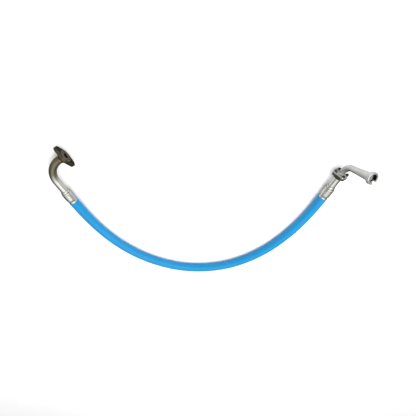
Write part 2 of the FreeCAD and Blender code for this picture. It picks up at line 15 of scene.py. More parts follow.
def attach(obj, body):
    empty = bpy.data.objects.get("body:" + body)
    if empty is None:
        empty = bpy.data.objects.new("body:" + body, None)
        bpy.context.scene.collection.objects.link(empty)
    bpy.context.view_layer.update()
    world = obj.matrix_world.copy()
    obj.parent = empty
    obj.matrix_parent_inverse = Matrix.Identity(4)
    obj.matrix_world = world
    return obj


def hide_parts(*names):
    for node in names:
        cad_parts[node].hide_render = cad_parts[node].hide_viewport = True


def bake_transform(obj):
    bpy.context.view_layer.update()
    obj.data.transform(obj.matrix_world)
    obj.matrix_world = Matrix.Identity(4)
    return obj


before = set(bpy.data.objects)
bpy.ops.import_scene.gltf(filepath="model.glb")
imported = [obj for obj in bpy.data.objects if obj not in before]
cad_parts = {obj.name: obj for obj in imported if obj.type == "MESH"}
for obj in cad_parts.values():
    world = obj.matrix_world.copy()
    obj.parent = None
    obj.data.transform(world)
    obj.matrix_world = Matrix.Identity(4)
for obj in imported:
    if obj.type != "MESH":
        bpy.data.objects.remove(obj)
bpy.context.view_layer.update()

MM = 0.001
UP = Vector((0, 0, 1))


def direction(heading, rise):
    """A unit vector from its heading in the floor plane and its rise above it, in degrees."""
    flat = math.cos(math.radians(rise))
    return Vector(
        (
            flat * math.cos(math.radians(heading)),
            flat * math.sin(math.radians(heading)),
            math.sin(math.radians(rise)),
        )
    )


def turned(vector, axis, angle):
    """The vector turned about the axis, in degrees."""
    return Quaternion(axis, math.radians(angle)) @ vector


def level(axis):
    """The level unit vector square to an axis."""
    return axis.cross(UP).normalized()


def station(origin, axis, side):
    """The matrix of a place with its Z along the axis and its X along the side."""
    return Matrix.Translation(origin) @ Matrix((side, axis.cross(side), axis)).transposed().to_4x4()


# The stations that the end fittings are built on, the same as in the CAD model.
LEFT_AXIS = direction(-71.1, 5.25)
RIGHT_AXIS = direction(-109.75, 3.57)
LEFT_MOUTH = Vector((0.39426, 0.09069, 0.0190))
RIGHT_MOUTH = Vector((-0.3468, 0.0763, 0.0180))
FERRULE_LENGTH = 38.0
COLLAR_LENGTH = 7.0
SOCKET_DEPTH = 5.5
INSERTION = 30.0
TUBE_START = FERRULE_LENGTH + COLLAR_LENGTH - SOCKET_DEPTH

# Radii that several pieces share.
HOSE_BORE = 9.0
LINER_RADIUS = 10.7
INNER_BRAID_RADIUS = 11.4
SEPARATOR_RADIUS = 11.7
OUTER_BRAID_RADIUS = 12.4
NIPPLE_BORE = 6.8
GROOVE_RADIUS = 10.2
TUBE_RADIUS = 10.5
TUBE_BORE = 8.0
STUB_COLLAR_RADIUS = 13.5
CLEARANCE = 0.08

FLANGE_AXIS = direction(-152.15, -8.91)
TUBE_CORNER = LEFT_MOUTH + LEFT_AXIS * 130.3 * MM
TUBE_BEND_RADIUS = 57.5
FLANGE_FACE = TUBE_CORNER + FLANGE_AXIS * 70.3 * MM
FLANGE_STATION = station(FLANGE_FACE, FLANGE_AXIS, turned(level(FLANGE_AXIS), FLANGE_AXIS, 9.0))
BOLT_REACH = 26.0
BOLT_HOLE_RADIUS = 4.5
HUB_END = -16.3

STUB_LENGTH = 88.0
JOINT = RIGHT_MOUTH + RIGHT_AXIS * STUB_LENGTH * MM
JOINT_STATION = station(JOINT, RIGHT_AXIS, turned(level(RIGHT_AXIS), RIGHT_AXIS, -44.5))
SQUARE_SIDE = 37.0
SQUARE_CORNER = 8.0
LOOSE_THICKNESS = 6.5
BOSS_END = -11.0
COLLAR_THICKNESS = 3.0
JOINT_GAP = 0.3
SCREW_OFFSET = 13.2
ELBOW_PLATE = 4.5
SHANK_RADIUS = 2.5
SHANK_LENGTH = 11.0
HEAD_RADIUS = 4.25
HEAD_HEIGHT = 3.2
WASHER_THICKNESS = 1.0

ELBOW_START = 8.4
ELBOW_RADIUS = 31.6
ELBOW_TURN = 70.5
ELBOW_SIDE = turned(level(RIGHT_AXIS), RIGHT_AXIS, -72.2)
ELBOW_HINGE = RIGHT_AXIS.cross(ELBOW_SIDE)
BEND_START = JOINT + RIGHT_AXIS * ELBOW_START * MM
BEND_CENTRE = BEND_START + ELBOW_SIDE * ELBOW_RADIUS * MM
LEG_AXIS = turned(RIGHT_AXIS, ELBOW_HINGE, ELBOW_TURN)
BEND_END = BEND_CENTRE + turned(BEND_START - BEND_CENTRE, ELBOW_HINGE, ELBOW_TURN)
LEG_LENGTH = 71.0
RIM_FACE = BEND_END + LEG_AXIS * LEG_LENGTH * MM
RIM_STATION = station(RIM_FACE, LEG_AXIS, level(LEG_AXIS))
RIM_RADIUS = 16.8
RIM_LENGTH = 12.5
ELBOW_BORE = 6.2
ELBOW_NECK = 8.8
LEG_GROWTH = 2.6
ROOT_FLARE = 2.6
ELBOW_SOCKET_RADIUS = 11.0
ELBOW_SOCKET_DEPTH = 11.0
NOTCH_WIDTH = 11.0
NOTCH_DEPTH = 8.0

# The hose's route, laid on the floor and rising a little at each end.
ROUTE = [
    LEFT_MOUTH + LEFT_AXIS * INSERTION * MM,
    Vector((0.38233, 0.12555, 0.01561)),
    Vector((0.3465, 0.1965, 0.014)),
    Vector((0.308, 0.251, 0.014)),
    Vector((0.2586, 0.303, 0.014)),
    Vector((0.2008, 0.3452, 0.014)),
    Vector((0.1375, 0.3753, 0.014)),
    Vector((0.0695, 0.393, 0.014)),
    Vector((0.0005, 0.3942, 0.014)),
    Vector((-0.0695, 0.3815, 0.014)),
    Vector((-0.1375, 0.3506, 0.014)),
    Vector((-0.1998, 0.3054, 0.014)),
    Vector((-0.252, 0.2495, 0.014)),
    Vector((-0.2932, 0.1908, 0.014)),
    Vector((-0.33162, 0.11857, 0.0152)),
    RIGHT_MOUTH + RIGHT_AXIS * INSERTION * MM,
]
HOSE_RADIUS = 14.0


# ---------------------------------------------------------------- camera, floor and light

VIEW_ELEVATION = math.radians(51.27)
CAMERA_PLACE = Vector((-0.007, -0.51015, 0.80044))
LENS = 28.56


def make_camera():
    """Looks down along +Y from the side of the end fittings, rolled half a turn, so +X is to the left."""
    back = Vector((0, -math.cos(VIEW_ELEVATION), math.sin(VIEW_ELEVATION)))
    data = bpy.data.cameras.new("camera")
    data.lens = LENS
    data.sensor_width = 36.0
    camera = bpy.data.objects.new("camera", data)
    bpy.context.scene.collection.objects.link(camera)
    camera.matrix_world = station(CAMERA_PLACE, back, Vector((-1, 0, 0)))
    bpy.context.scene.camera = camera


def softbox(name, place, target, width, height, power):
    """A rectangular area light, aimed at its target."""
    data = bpy.data.lights.new(name, "AREA")
    data.shape = "RECTANGLE"
    data.size = width
    data.size_y = height
    data.energy = power
    light = bpy.data.objects.new(name, data)
    bpy.context.scene.collection.objects.link(light)
    light.location = place
    light.rotation_mode = "QUATERNION"
    light.rotation_quaternion = (Vector(target) - Vector(place)).to_track_quat("-Z", "Y")


# The brightness of the room: its wall behind the ends, the one past the hose, and its ceiling.
WALL_NEAR = 0.75
WALL_FAR = 0.10
SKY = 0.95


def feed(tree, socket, value):
    """Links a node's output to a socket, or sets the socket's constant."""
    if isinstance(value, bpy.types.NodeSocket):
        tree.links.new(value, socket)
    else:
        socket.default_value = value


def smooth_step(tree, value, low, high, low_out=0.0, high_out=1.0):
    """The value's smooth step from low to high."""
    made = tree.nodes.new("ShaderNodeMapRange")
    made.interpolation_type = "SMOOTHSTEP"
    names = ("Value", "From Min", "From Max", "To Min", "To Max")
    for name, given in zip(names, (value, low, high, low_out, high_out)):
        feed(tree, made.inputs[name], given)
    return made.outputs["Result"]


def make_studio():
    scene = bpy.context.scene
    scene.view_settings.view_transform = "Standard"
    world = bpy.data.worlds.new("studio")
    scene.world = world
    world.use_nodes = True
    tree = world.node_tree
    background = tree.nodes["Background"]
    place = tree.nodes.new("ShaderNodeTexCoord")
    split = tree.nodes.new("ShaderNodeSeparateXYZ")
    tree.links.new(place.outputs["Generated"], split.inputs[0])
    walls = smooth_step(tree, split.outputs["Y"], -0.5, 0.5, WALL_NEAR, WALL_FAR)
    sky = smooth_step(tree, split.outputs["Z"], 0.15, 0.6, walls, SKY)
    tree.links.new(sky, background.inputs["Color"])
    background.inputs["Strength"].default_value = 1.0

    softbox("key", (-0.95, -0.45, 1.35), (-0.2, 0.10, 0.0), 1.9, 1.9, 26.0)
    softbox("top", (-0.1, 0.45, 1.9), (0.0, 0.2, 0.0), 1.8, 1.2, 18.0)

    mesh = bpy.data.meshes.new("floor")
    reach = 12.0
    corners = [(-reach, -reach, 0), (reach, -reach, 0), (reach, reach, 0), (-reach, reach, 0)]
    mesh.from_pydata(corners, [], [(0, 1, 2, 3)])
    floor = bpy.data.objects.new("floor", mesh)
    scene.collection.objects.link(floor)
    paint = Nodes("pale_floor", roughness=0.75, specular=0.15)
    cloud = paint.noise(paint.place(), 3.0, 3)
    paint.base(paint.ramp(cloud, [(0.3, (0.86, 0.86, 0.86)), (0.7, (0.89, 0.89, 0.89))]))
    mesh.materials.append(paint.material)


# ---------------------------------------------------------------- material nodes


class Nodes:
    """One material's node tree, with a Principled shader whose constant values are set on its own sockets.

    The rim is how brightly a metal reflects where it is seen edge on.
    """

    def __init__(self, name, metallic=0.0, roughness=0.5, specular=0.5, rim=1.0):
        self.material = bpy.data.materials.new(name)
        self.material.use_nodes = True
        self.tree = self.material.node_tree
        self.shader = self.tree.nodes["Principled BSDF"]
        self.shader.inputs["Metallic"].default_value = metallic
        self.shader.inputs["Roughness"].default_value = roughness
        self.shader.inputs["Specular IOR Level"].default_value = specular
        self.shader.inputs["Specular Tint"].default_value = (rim, rim, rim, 1)

    def node(self, kind, inputs=(), **settings):
        made = self.tree.nodes.new(kind)
        for name, value in settings.items():
            setattr(made, name, value)
        for name, value in dict(inputs).items():
            self.set(made.inputs[name], value)
        return made

    def set(self, socket, value):
        feed(self.tree, socket, value)

    def place(self):
        """The point in the piece's own frame, in metres."""
        return self.node("ShaderNodeTexCoord").outputs["Object"]

    def dot(self, first, second):
        made = self.node("ShaderNodeVectorMath", operation="DOT_PRODUCT")
        self.set(made.inputs[0], first)
        self.set(made.inputs[1], second)
        return made.outputs["Value"]

    def about(self, axis):
        """The height along an axis through the piece's origin, and the distance from it, in metres."""
        point = self.place()
        height = self.dot(point, axis)
        square = self.math("MULTIPLY", height, height)
        return height, self.math("SQRT", self.math("SUBTRACT", self.dot(point, point), square))

    def parts(self, vector):
        split = self.node("ShaderNodeSeparateXYZ", {"Vector": vector})
        return split.outputs["X"], split.outputs["Y"], split.outputs["Z"]

    def join(self, x, y, z):
        return self.node("ShaderNodeCombineXYZ", {"X": x, "Y": y, "Z": z}).outputs["Vector"]

    def lay(self):
        """The turn round a tube, 0 to 1, and the length along it in metres."""
        uv = self.node("ShaderNodeUVMap", uv_map="lay").outputs["UV"]
        turn, along, _ = self.parts(uv)
        return turn, along

    def math(self, operation, first, second=0.0):
        made = self.node("ShaderNodeMath", operation=operation)
        self.set(made.inputs[0], first)
        self.set(made.inputs[1], second)
        return made.outputs[0]

    def between(self, value, low, high, low_out=0.0, high_out=1.0):
        return smooth_step(self.tree, value, low, high, low_out, high_out)

    def noise(self, vector, scale, detail=4.0, roughness=0.55, stretch=(1, 1, 1)):
        spread = self.node("ShaderNodeMapping", {"Vector": vector, "Scale": stretch})
        inputs = {"Vector": spread.outputs[0], "Scale": scale, "Detail": detail, "Roughness": roughness}
        return self.node("ShaderNodeTexNoise", inputs).outputs["Fac"]

    def cells(self, vector, scale):
        inputs = {"Vector": vector, "Scale": scale}
        return self.node("ShaderNodeTexVoronoi", inputs, feature="SMOOTH_F1").outputs["Distance"]

    def ramp(self, factor, stops):
        made = self.node("ShaderNodeValToRGB", {"Fac": factor})
        elements = made.color_ramp.elements
        while len(elements) < len(stops):
            elements.new(0.5)
        for element, (position, colour) in zip(elements, stops):
            element.position = position
            element.color = (*colour, 1)
        return made.outputs["Color"]

    def mix(self, factor, first, second):
        made = self.node("ShaderNodeMix", data_type="RGBA")
        for index, value in ((0, factor), (6, first), (7, second)):
            if isinstance(value, tuple):
                value = (*value, 1)
            self.set(made.inputs[index], value)
        return made.outputs[2]

    def mix_value(self, factor, first, second):
        """A number between two, by a factor."""
        made = self.node("ShaderNodeMix", data_type="FLOAT")
        for index, value in ((0, factor), (2, first), (3, second)):
            self.set(made.inputs[index], value)
        return made.outputs[0]

    def facing(self, side):
        """How far the surface faces a side in the piece's own frame, -1 to 1."""
        return self.dot(self.node("ShaderNodeTexCoord").outputs["Normal"], side)

    def edges(self, radius):
        """How close the point is to a convex or concave edge, 0 to 1."""
        rounded = self.node("ShaderNodeBevel", {"Radius": radius}, samples=4).outputs["Normal"]
        true = self.node("ShaderNodeNewGeometry").outputs["Normal"]
        return self.between(self.dot(rounded, true), 0.995, 0.9)

    def base(self, colour):
        self.set(self.shader.inputs["Base Color"], colour)

    def rough(self, value):
        self.set(self.shader.inputs["Roughness"], value)

    def bump(self, *layers):
        """Stacks bumps, each a height, its strength and its depth in metres."""
        normal = None
        for height, strength, distance in layers:
            made = self.node("ShaderNodeBump", {"Height": height, "Strength": strength, "Distance": distance})
            if normal is not None:
                self.tree.links.new(normal, made.inputs["Normal"])
            normal = made.outputs["Normal"]
        self.tree.links.new(normal, self.shader.inputs["Normal"])


def tube_place(paint, radius):
    """A point on a hose as if it lay straight, so a pattern stays on it as it bends."""
    turn, along = paint.lay()
    angle = paint.math("MULTIPLY", turn, 2 * math.pi)
    across = paint.math("MULTIPLY", paint.math("COSINE", angle), radius)
    over = paint.math("MULTIPLY", paint.math("SINE", angle), radius)
    return paint.join(across, over, along), turn, along


WRAP_PITCH = 0.052


def blue_rubber():
    """Smooth blue cover rubber with the faint marks of the cloth tape it was cured in."""
    paint = Nodes("blue_cover_rubber", roughness=0.42, specular=0.2)
    point, turn, along = tube_place(paint, HOSE_RADIUS * MM)
    phase = paint.math("FRACT", paint.math("ADD", paint.math("DIVIDE", along, WRAP_PITCH), turn))
    edge = paint.math("MULTIPLY", paint.math("ABSOLUTE", paint.math("SUBTRACT", phase, 0.5)), 2.0)
    tape_line = paint.between(edge, 0.955, 1.0)
    threads = 55 * 2 * math.pi
    across = paint.math("MULTIPLY", turn, threads)
    down = paint.math("MULTIPLY", along, 2 * math.pi / 0.0016)
    warp = paint.math("SINE", paint.math("ADD", across, down))
    weft = paint.math("SINE", paint.math("SUBTRACT", across, down))
    cloth = paint.math("MULTIPLY", warp, weft)
    cloud = paint.noise(point, 22.0, 4, 0.6)
    grain = paint.noise(point, 1400.0, 3, 0.6)
    scuff = paint.noise(point, 60.0, 6, 0.7, (1, 1, 0.18))
    blue = paint.ramp(cloud, [(0.25, (0.004, 0.19, 0.42)), (0.75, (0.006, 0.215, 0.46))])
    blue = paint.mix(paint.math("MULTIPLY", tape_line, 0.35), blue, (0.003, 0.15, 0.35))
    blue = paint.mix(paint.between(scuff, 0.62, 0.8, 0.0, 0.12), blue, (0.03, 0.28, 0.54))
    paint.base(blue)
    paint.rough(paint.between(scuff, 0.3, 0.75, 0.36, 0.5))
    paint.bump((cloth, 0.12, 0.00006), (grain, 0.15, 0.00005), (tape_line, 0.25, -0.00012))
    return paint.material


def dark_rubber(name, colour, radius=None):
    paint = Nodes(name, roughness=0.6, specular=0.3)
    point = paint.place() if radius is None else tube_place(paint, radius * MM)[0]
    cloud = paint.noise(point, 180.0, 4, 0.6)
    lighter = tuple(1.6 * c + 0.004 for c in colour)
    paint.base(paint.ramp(cloud, [(0.3, colour), (0.75, lighter)]))
    paint.rough(paint.between(cloud, 0.3, 0.7, 0.5, 0.68))
    paint.bump((paint.noise(point, 2500.0, 3), 0.2, 0.00004))
    return paint.material


def braided_wire(radius, bands):
    """Brass-coated steel wire braid: bands of parallel wires that cross over and under."""
    paint = Nodes(f"braid_wire_{bands}", metallic=1.0, roughness=0.35)
    turn, along = paint.lay()
    pitch = 2 * math.pi * radius * MM / math.tan(math.radians(54.7))
    across = paint.math("MULTIPLY", turn, 2 * math.pi * bands)
    down = paint.math("MULTIPLY", along, 2 * math.pi * bands / pitch)
    first = paint.math("ADD", across, down)
    second = paint.math("SUBTRACT", across, down)
    crossing = paint.math("MULTIPLY", paint.math("SINE", first), paint.math("SINE", second))
    over = paint.math("GREATER_THAN", crossing, 0.0)
    wires = 7.0
    wires_one = paint.math("SINE", paint.math("MULTIPLY", first, wires))
    wires_two = paint.math("SINE", paint.math("MULTIPLY", second, wires))
    groove = paint.between(paint.mix_value(over, wires_one, wires_two), -1.0, 0.4)
    paint.base(paint.mix(groove, (0.10, 0.075, 0.04), (0.72, 0.60, 0.38)))
    paint.bump((groove, 0.6, 0.0002))
    return paint.material


# Painted shade along one side of each end fitting: its dark colour, and the way the shaded faces point.
PAINTED_SHADE = (0.035, 0.033, 0.025)
SHADE_FACING_LEFT = (0.729, 0.309, 0.611)
SHADE_FACING_RIGHT = (-0.762, 0.311, 0.568)
SHADE_FACING_ELBOW = (0.411, 0.855, 0.317)


def turned_steel(name, axis, dark, light, tint, roughness, worn, shade_facing):
    """Machined steel: turning rings along its axis, clouds of tint, small scratches, bright worn edges and
    painted shade on one side.
    """
    paint = Nodes(name, metallic=1.0, roughness=roughness, rim=0.2)
    point = paint.place()
    height, _ = paint.about(axis)
    cloud = paint.noise(point, 55.0, 5, 0.62)
    fleck = paint.noise(point, 420.0, 3, 0.6)
    ring = paint.noise(paint.join(0.0, 0.0, height), 9000.0, 2)
    scratch = paint.noise(point, 240.0, 5, 0.75, (1.0, 1.0, 0.06))
    colour = paint.ramp(cloud, [(0.3, dark), (0.5, light), (0.68, tint)])
    colour = paint.mix(paint.between(fleck, 0.6, 0.78, 0.0, 0.12), colour, tuple(0.6 * c for c in dark))
    colour = paint.mix(paint.math("MULTIPLY", paint.edges(0.0005), 0.4), colour, worn)
    # Painted shade: the faces that point along the given side are darkened to a near-black colour.
    colour = paint.mix(paint.between(paint.facing(shade_facing), 0.6, 0.98, 0.0, 0.85), colour, PAINTED_SHADE)
    paint.base(colour)
    mottle = paint.between(cloud, 0.3, 0.7, roughness - 0.03, roughness + 0.04)
    paint.rough(paint.math("ADD", mottle, paint.between(scratch, 0.55, 0.75, 0.0, 0.05)))
    paint.bump((ring, 0.04, 0.00004), (fleck, 0.02, 0.0001), (scratch, 0.02, 0.00008))
    return paint.material


# The way the painted shade's faces point on each side's fittings.
def shade_facing_of(side):
    return SHADE_FACING_LEFT if side == "left" else SHADE_FACING_RIGHT


def zinc_shell(side, axis):
    """Zinc plate with a faint green and straw cast, for the ferrules."""
    greenish, silver, straw = (0.37, 0.40, 0.36), (0.44, 0.45, 0.42), (0.47, 0.43, 0.37)
    worn = (0.62, 0.62, 0.60)
    name = f"zinc_plated_shell_{side}"
    return turned_steel(name, axis, greenish, silver, straw, 0.37, worn, shade_facing_of(side))


def bright_steel(side, axis):
    grey, silver, warm = (0.40, 0.40, 0.39), (0.47, 0.47, 0.455), (0.49, 0.475, 0.45)
    worn = (0.68, 0.68, 0.66)
    name = f"bright_turned_steel_{side}"
    return turned_steel(name, axis, grey, silver, warm, 0.35, worn, shade_facing_of(side))


# Where the bent tube's bright metal turns to brown scale, in metres from its end in the collar.
SCALE_START = 0.036
SCALE_END = 0.076
# Where the heat of the weld has reddened it.
HEAT_START = 0.110
HEAT_END = 0.123


def tube_steel():
    """Bright drawn tube near the ferrule that goes over to olive-brown scale round the bend, with painted
    shade along one side.
    """
    paint = Nodes("drawn_tube_steel", metallic=1.0, roughness=0.32, rim=0.15)
    point, _, along = tube_place(paint, TUBE_RADIUS * MM)
    cloud = paint.noise(point, 45.0, 5, 0.65)
    streak = paint.noise(point, 420.0, 4, 0.65, (1, 1, 0.05))
    fleck = paint.noise(point, 700.0, 3, 0.6)
    ragged = paint.math("ADD", along, paint.math("MULTIPLY", paint.math("SUBTRACT", cloud, 0.5), 0.03))
    scale = paint.between(ragged, SCALE_START, SCALE_END)
    bright = paint.ramp(cloud, [(0.3, (0.42, 0.42, 0.395)), (0.7, (0.46, 0.455, 0.43))])
    brown = paint.ramp(streak, [(0.3, (0.125, 0.115, 0.072)), (0.7, (0.165, 0.15, 0.10))])
    colour = paint.mix(scale, bright, brown)
    colour = paint.mix(paint.between(fleck, 0.6, 0.75, 0.0, 0.12), colour, (0.07, 0.06, 0.04))
    # Painted shade: the faces that point along one side are darkened to a near-black colour.
    colour = paint.mix(paint.between(paint.facing(SHADE_FACING_LEFT), 0.6, 0.98, 0.0, 0.85), colour, PAINTED_SHADE)
    heat = paint.between(along, HEAT_START, HEAT_END)
    paint.base(paint.mix(paint.math("MULTIPLY", heat, 0.6), colour, (0.13, 0.085, 0.05)))
    rougher = paint.between(scale, 0.0, 1.0, 0.36, 0.40)
    paint.rough(paint.math("ADD", rougher, paint.between(cloud, 0.3, 0.7, -0.03, 0.06)))
    paint.bump((streak, 0.03, 0.0001), (fleck, 0.05, 0.00006))
    return paint.material


# A height in metres above every point of a piece, for one with no machined face.
NO_FACE = 0.5


def scaled_steel(name, axis, dark, bare, face_height):
    """Hot-forged steel under brown scale, with a machined face above a height and worn bright edges."""
    light = (0.085, 0.075, 0.05)
    paint = Nodes(name, metallic=1.0, roughness=0.36, rim=0.15)
    point = paint.place()
    height, radius = paint.about(axis)
    cloud = paint.noise(point, 110.0, 6, 0.68)
    pits = paint.cells(point, 900.0)
    ring = paint.noise(paint.join(radius, 0.0, 0.0), 7000.0, 2)
    face = paint.between(height, face_height - 0.0002, face_height)
    colour = paint.ramp(cloud, [(0.28, dark), (0.62, light), (0.8, tuple(1.25 * c for c in light))])
    colour = paint.mix(paint.math("MULTIPLY", face, 0.8), colour, bare)
    colour = paint.mix(paint.math("MULTIPLY", paint.edges(0.0006), 0.5), colour, tuple(1.2 * c for c in bare))
    paint.base(colour)
    paint.rough(paint.between(cloud, 0.25, 0.75, 0.34, 0.52))
    turning = paint.math("MULTIPLY", ring, face)
    paint.bump((pits, 0.06, 0.0002), (cloud, 0.1, 0.0004), (turning, 0.15, 0.00006))
    return paint.material


def weld_steel():
    """Weld metal with straw, red-brown and blue heat colours."""
    paint = Nodes("weld_metal", metallic=1.0, roughness=0.34, rim=0.3)
    point = paint.place()
    cloud = paint.noise(point, 260.0, 4, 0.6)
    fine = paint.noise(point, 1200.0, 3, 0.6)
    stops = [
        (0.3, (0.07, 0.04, 0.025)),
        (0.48, (0.17, 0.09, 0.05)),
        (0.6, (0.22, 0.13, 0.07)),
        (0.75, (0.10, 0.085, 0.08)),
    ]
    paint.base(paint.ramp(cloud, stops))
    paint.rough(paint.between(cloud, 0.3, 0.7, 0.26, 0.45))
    paint.bump((fine, 0.2, 0.00008))
    return paint.material


def cast_metal():
    """Sand-cast elbow, blasted to an even grey, with a turned face on the rim, painted shade inside the
    socket and painted shade on one side.
    """
    paint = Nodes("cast_grey_metal", metallic=0.95, roughness=0.42, rim=0.2)
    point = paint.place()
    height, radius = paint.about(LEG_AXIS)
    cloud = paint.noise(point, 48.0, 5, 0.6)
    sand = paint.noise(point, 900.0, 4, 0.65)
    pits = paint.cells(point, 650.0)
    ring = paint.noise(paint.join(radius, 0.0, paint.math("MULTIPLY", height, 0.7)), 6500.0, 2)
    near_face = paint.between(height, -0.0113, -0.0108)
    in_socket = paint.between(radius, 0.0116, 0.0112)
    on_face = paint.between(height, -0.0006, -0.0003)
    socket = paint.math("MULTIPLY", near_face, in_socket)
    stops = [(0.3, (0.42, 0.425, 0.41)), (0.55, (0.49, 0.495, 0.48)), (0.75, (0.53, 0.53, 0.515))]
    colour = paint.ramp(cloud, stops)
    # Painted shade: faces that point one way are darkened, to mid grey over a wide turn and to near black
    # where they face it most.
    facing_shade = paint.facing(SHADE_FACING_ELBOW)
    colour = paint.mix(paint.between(facing_shade, -0.5, 0.7, 0.0, 0.55), colour, (0.17, 0.17, 0.165))
    colour = paint.mix(paint.between(facing_shade, 0.7, 1.0, 0.0, 0.75), colour, PAINTED_SHADE)
    colour = paint.mix(paint.between(pits, 0.55, 0.25, 0.0, 0.25), colour, (0.24, 0.24, 0.23))
    colour = paint.mix(paint.math("MULTIPLY", on_face, 0.5), colour, (0.55, 0.55, 0.53))
    # Painted shade: the inside of the socket is painted near black.
    colour = paint.mix(socket, colour, (0.02, 0.02, 0.019))
    paint.base(colour)
    paint.rough(paint.mix_value(on_face, paint.between(sand, 0.3, 0.7, 0.42, 0.54), 0.3))
    turning = paint.math("MULTIPLY", ring, on_face)
    paint.bump((sand, 0.28, 0.00022), (pits, 0.15, 0.00025), (turning, 0.1, 0.00006))
    return paint.material


def black_oxide():
    """Blackened screws, worn to bare steel on their edges."""
    paint = Nodes("black_oxide", metallic=0.9, roughness=0.38, rim=0.3)
    point = paint.place()
    cloud = paint.noise(point, 300.0, 4, 0.6)
    colour = paint.ramp(cloud, [(0.3, (0.022, 0.021, 0.018)), (0.7, (0.06, 0.056, 0.048))])
    paint.base(paint.mix(paint.math("MULTIPLY", paint.edges(0.0004), 0.5), colour, (0.42, 0.40, 0.36)))
    paint.rough(paint.between(cloud, 0.3, 0.7, 0.30, 0.46))
    paint.bump((paint.noise(point, 2200.0, 3), 0.12, 0.00005))
    return paint.material


# ---------------------------------------------------------------- mesh making


def new_piece(name, mesh, place, material):
    """An object at a station's origin. The mesh is turned to the station, and the object itself is not."""
    mesh.transform(place.to_3x3().to_4x4())
    mesh.materials.clear()
    mesh.materials.append(material)
    piece = bpy.data.objects.new(name, mesh)
    bpy.context.scene.collection.objects.link(piece)
    piece.matrix_world = Matrix.Translation(place.translation)
    return piece


def fitted(name, mesh, place, material, body, node):
    """A piece that rides on a body in place of one CAD node."""
    piece = new_piece(name, mesh, place, material)
    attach(piece, body)
    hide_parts(node)


def smooth(mesh, angle=38.0):
    mesh.shade_smooth()
    mesh.set_sharp_from_angle(angle=math.radians(angle))
    return mesh


def tube_mesh(name, rings, lengths):
    """A closed ring-shaped skin from loops of points, the last joined to the first, with the "lay" UVs."""
    rings = np.asarray(rings, float)
    count, segments, _ = rings.shape
    vertices = rings.reshape(-1, 3)
    i, j = np.meshgrid(np.arange(count), np.arange(segments), indexing="ij")
    after, beside = (i + 1) % count, (j + 1) % segments
    here, there = i * segments, after * segments
    quads = np.stack([here + j, here + beside, there + beside, there + j], -1)
    mesh = bpy.data.meshes.new(name)
    mesh.from_pydata(vertices.tolist(), [], quads.reshape(-1, 4).tolist())
    lengths = np.asarray(lengths, float)
    turns = np.stack([j, j + 1, j + 1, j], -1) / segments
    alongs = np.stack([lengths[i], lengths[i], lengths[after], lengths[after]], -1)
    uvs = np.stack([turns, alongs], -1).reshape(-1, 2)
    layer = mesh.uv_layers.new(name="lay")
    layer.data.foreach_set("uv", uvs.astype(np.float32).ravel())
    face_outwards(mesh)
    return smooth(mesh)


def face_outwards(mesh):
    work = bmesh.new()
    work.from_mesh(mesh)
    bmesh.ops.recalc_face_normals(work, faces=work.faces)
    work.to_mesh(mesh)
    work.free()


def circle_of(segments):
    angles = np.arange(segments) * 2 * math.pi / segments
    return np.cos(angles), np.sin(angles), angles


def spun(name, profile, segments=96):
    """A solid ring about Z from its closed half section: pairs of radius and height in mm.

    A radius may also be an array with a value at each segment.
    """
    cosine, sine, _ = circle_of(segments)
    rings = [
        np.stack([radius * cosine, radius * sine, np.full(segments, float(height))], -1) * MM
        for radius, height in profile
    ]
    steps = [0.0]
    for (radius, height), (next_radius, next_height) in zip(profile, profile[1:]):
        steps.append(math.hypot(float(np.mean(next_radius - radius)), next_height - height) * MM)
    return tube_mesh(name, rings, np.cumsum(steps))


def rounded(corners, radius, count=4, closed=True):
    """A half section with each corner rounded. A corner is (r, z) or (r, z, its own radius)."""
    made = []
    total = len(corners)
    for i, corner in enumerate(corners):
        here = Vector(corner[:2])
        reach = corner[2] if len(corner) > 2 else radius
        before = Vector(corners[i - 1][:2]) - here
        after = Vector(corners[(i + 1) % total][:2]) - here
        turn = math.pi - before.angle(after)
        if reach <= 0 or turn < 0.02 or (not closed and i in (0, total - 1)):
            made.append((here.x, here.y))
            continue
        back = min(reach * math.tan(turn / 2), 0.45 * before.length, 0.45 * after.length)
        first = here + before.normalized() * back
        last = here + after.normalized() * back
        for step in range(count + 1):
            t = step / count
            point = (1 - t) ** 2 * first + 2 * t * (1 - t) * here + t**2 * last
            made.append((point.x, point.y))
    return made


def bent_rings(points, tangents, reference, radii, segments):
    """Loops of points round a path, with the reference square to its plane.

    Each loop's radius in mm is a number, or a row with one at each segment.
    """
    cosine, sine, _ = circle_of(segments)
    rings = []
    for point, tangent, radius in zip(points, tangents, radii):
        over = (reference - tangent * reference.dot(tangent)).normalized()
        across = over.cross(tangent)
        loop = np.outer(radius * cosine, np.array(across)) + np.outer(radius * sine, np.array(over))
        rings.append(np.array(point) + loop * MM)
    return rings


def lengths_along(points):
    steps = [0.0] + [(b - a).length for a, b in zip(points, points[1:])]
    return np.cumsum(steps)


def tangents_along(points):
    ends = [points[0], *points, points[-1]]
    return [(after - before).normalized() for before, after in zip(ends, ends[2:])]


def evaluated_mesh(thing):
    graph = bpy.context.evaluated_depsgraph_get()
    return bpy.data.meshes.new_from_object(thing.evaluated_get(graph), depsgraph=graph)


def holder_of(mesh):
    holder = bpy.data.objects.new(mesh.name + "_work", mesh)
    bpy.context.scene.collection.objects.link(holder)
    return holder


def changed(mesh, kind, **settings):
    """The mesh after one modifier."""
    holder = holder_of(mesh)
    modifier = holder.modifiers.new(kind, kind)
    for name, value in settings.items():
        setattr(modifier, name, value)
    made = evaluated_mesh(holder)
    bpy.data.objects.remove(holder)
    return made


def combined(mesh, other, operation):
    """The exact union or difference of two closed meshes."""
    tool = holder_of(other)
    made = changed(mesh, "BOOLEAN", operation=operation, object=tool, solver="EXACT")
    bpy.data.objects.remove(tool)
    return made


def merged(name, meshes):
    """Several meshes in one, side by side."""
    work = bmesh.new()
    for mesh in meshes:
        work.from_mesh(mesh)
    made = bpy.data.meshes.new(name)
    work.to_mesh(made)
    work.free()
    return made


